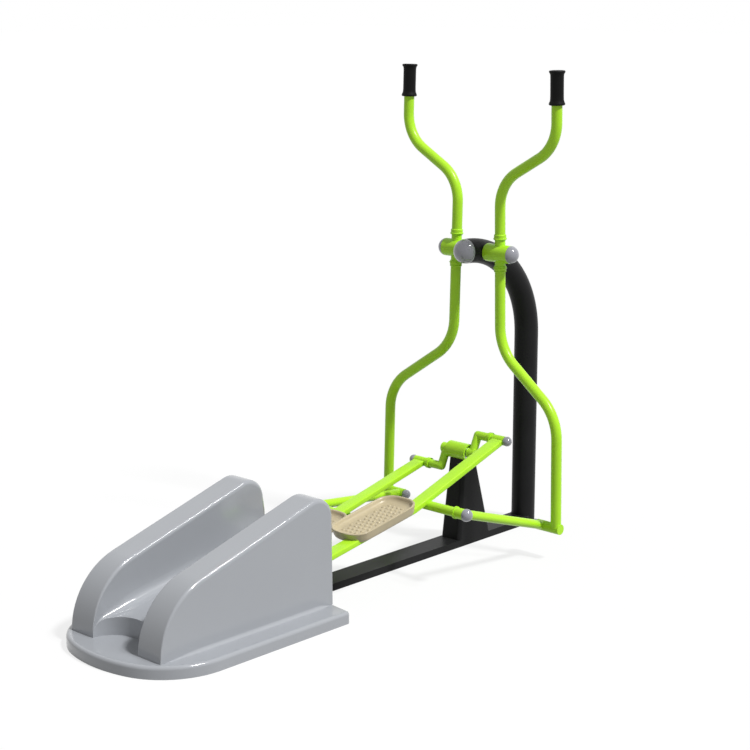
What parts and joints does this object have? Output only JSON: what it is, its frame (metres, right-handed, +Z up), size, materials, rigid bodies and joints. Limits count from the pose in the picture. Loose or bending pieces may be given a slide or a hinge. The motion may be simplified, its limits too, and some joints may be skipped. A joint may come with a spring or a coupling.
{
  "type": "outdoor cross trainer",
  "caption": "Park cross trainer: bent post with swinging handles, linked pedal bars on a crank, rear rollers running in two moulded guards beside a step.",
  "frame": {"origin": "middle of the footprint's box, on the ground", "axes": "+X forward from the step to the post, +Y to the user's left, +Z up"},
  "size_m": [2.1126, 0.812, 1.7325],
  "materials": {
    "housing_grey": "gloss gel coat",
    "black_paint": "gloss black powder coat",
    "black_plastic": "moulded",
    "cap_grey": "moulded gloss",
    "lime_paint": "gloss lime powder coat",
    "bright_steel": "turned",
    "zinc_steel": "zinc plated",
    "roller_nylon": "moulded nylon",
    "bush_plastic": "moulded",
    "pedal_beige": "moulded satin",
    "grip_rubber": "moulded, fluted"
  },
  "bodies": {
    "frame": {"base_plate": "housing_grey", "step_ramp": "housing_grey", "left_guard": "housing_grey", "right_guard": "housing_grey", "left_rail": "zinc_steel", "right_rail": "zinc_steel", "rail_screws": "bright_steel", "base_beam": "black_paint", "cross_members": "black_paint", "post": "black_paint", "post_plug": "black_plastic", "post_end_cap": "cap_grey", "pivot_tube": "black_paint", "pivot_shaft": "bright_steel", "crank_stand": "black_paint", "crank_bearing_tube": "lime_paint", "crank_bearings": "bright_steel"},
    "crank": {"crank_shaft": "bright_steel", "left_crank_throw": "lime_paint", "right_crank_throw": "lime_paint"},
    "right_carriage": {"right_rear_axle": "bright_steel"},
    "right_rollers": {"right_rollers": "roller_nylon"},
    "right_bar": {"right_bar": "lime_paint", "right_bar_front_sleeve": "lime_paint", "right_pin_ball": "cap_grey", "right_cross_tube": "lime_paint", "right_pedal": "pedal_beige", "right_pedal_bolts": "bright_steel"},
    "right_handle": {"right_hub": "lime_paint", "right_hub_bushes": "bush_plastic", "right_hub_cap": "cap_grey", "right_upper_arm": "lime_paint", "right_lower_arm": "lime_paint", "right_foot_pin": "lime_paint", "right_grip": "grip_rubber"},
    "right_link": {"right_link": "lime_paint", "right_link_bush": "bush_plastic", "right_link_cap": "cap_grey", "right_foot_ball": "cap_grey"},
    "left_carriage": {"left_rear_axle": "bright_steel"},
    "left_rollers": {"left_rollers": "roller_nylon"},
    "left_bar": {"left_bar": "lime_paint", "left_bar_front_sleeve": "lime_paint", "left_pin_ball": "cap_grey", "left_cross_tube": "lime_paint", "left_pedal": "pedal_beige", "left_pedal_bolts": "bright_steel"},
    "left_handle": {"left_hub": "lime_paint", "left_hub_bushes": "bush_plastic", "left_hub_cap": "cap_grey", "left_upper_arm": "lime_paint", "left_lower_arm": "lime_paint", "left_foot_pin": "lime_paint", "left_grip": "grip_rubber"},
    "left_link": {"left_link": "lime_paint", "left_link_bush": "bush_plastic", "left_link_cap": "cap_grey", "left_foot_ball": "cap_grey"}
  },
  "joints": [
    {"name": "crank_turn", "type": "hinge", "parent": "frame", "child": "crank", "pos_m": [0.63376, 0, 0.35], "axis": [0, 1, 0], "continuous": true},
    {"name": "right_stride", "type": "slide", "parent": "frame", "child": "right_carriage", "axis": [1, 0, 0], "range_m": [-0.1135, 0.0287]},
    {"name": "right_bar_tilt", "type": "hinge", "parent": "right_carriage", "child": "right_bar", "pos_m": [-0.78825, -0.1625, 0.0863], "axis": [0, 1, 0], "range_deg": [-0.26, 5.22]},
    {"name": "right_roller_spin", "type": "hinge", "parent": "right_carriage", "child": "right_rollers", "pos_m": [-0.78825, -0.1625, 0.0863], "axis": [0, 1, 0], "range_deg": [-163.08, 41.61]},
    {"name": "right_handle_swing", "type": "hinge", "parent": "frame", "child": "right_handle", "pos_m": [0.72376, -0.103, 1.07795], "axis": [0, 1, 0], "range_deg": [-1.73, 6.78]},
    {"name": "right_link_swing", "type": "hinge", "parent": "right_bar", "child": "right_link", "pos_m": [0.26127, -0.325, 0.2595], "axis": [0, 1, 0], "range_deg": [-17.03, 0.87]},
    {"name": "left_stride", "type": "slide", "parent": "frame", "child": "left_carriage", "axis": [1, 0, 0], "range_m": [-0.0287, 0.1135]},
    {"name": "left_bar_tilt", "type": "hinge", "parent": "left_carriage", "child": "left_bar", "pos_m": [-0.87029, 0.1625, 0.0863], "axis": [0, 1, 0], "range_deg": [-5.22, 0.26]},
    {"name": "left_roller_spin", "type": "hinge", "parent": "left_carriage", "child": "left_rollers", "pos_m": [-0.87029, 0.1625, 0.0863], "axis": [0, 1, 0], "range_deg": [-41.61, 163.08]},
    {"name": "left_handle_swing", "type": "hinge", "parent": "frame", "child": "left_handle", "pos_m": [0.72376, 0.103, 1.07795], "axis": [0, 1, 0], "range_deg": [-6.79, 1.73]},
    {"name": "left_link_swing", "type": "hinge", "parent": "left_bar", "child": "left_link", "pos_m": [0.19029, 0.325, 0.168], "axis": [0, 1, 0], "range_deg": [-0.87, 17.04]}
  ],
  "couplings": [
    {"joint": "left_stride", "follows": "right_stride", "ratio": -1},
    {"joint": "left_bar_tilt", "follows": "right_bar_tilt", "ratio": -1},
    {"joint": "right_roller_spin", "follows": "right_stride", "rad_per_m": 25},
    {"joint": "right_handle_swing", "follows": "right_stride", "rad_per_m": -1.039},
    {"joint": "right_link_swing", "follows": "right_bar_tilt", "ratio": -3.2594},
    {"joint": "left_roller_spin", "follows": "right_stride", "rad_per_m": -25},
    {"joint": "left_handle_swing", "follows": "right_stride", "rad_per_m": 1.0409},
    {"joint": "left_link_swing", "follows": "right_bar_tilt", "ratio": 3.2612}
  ]
}
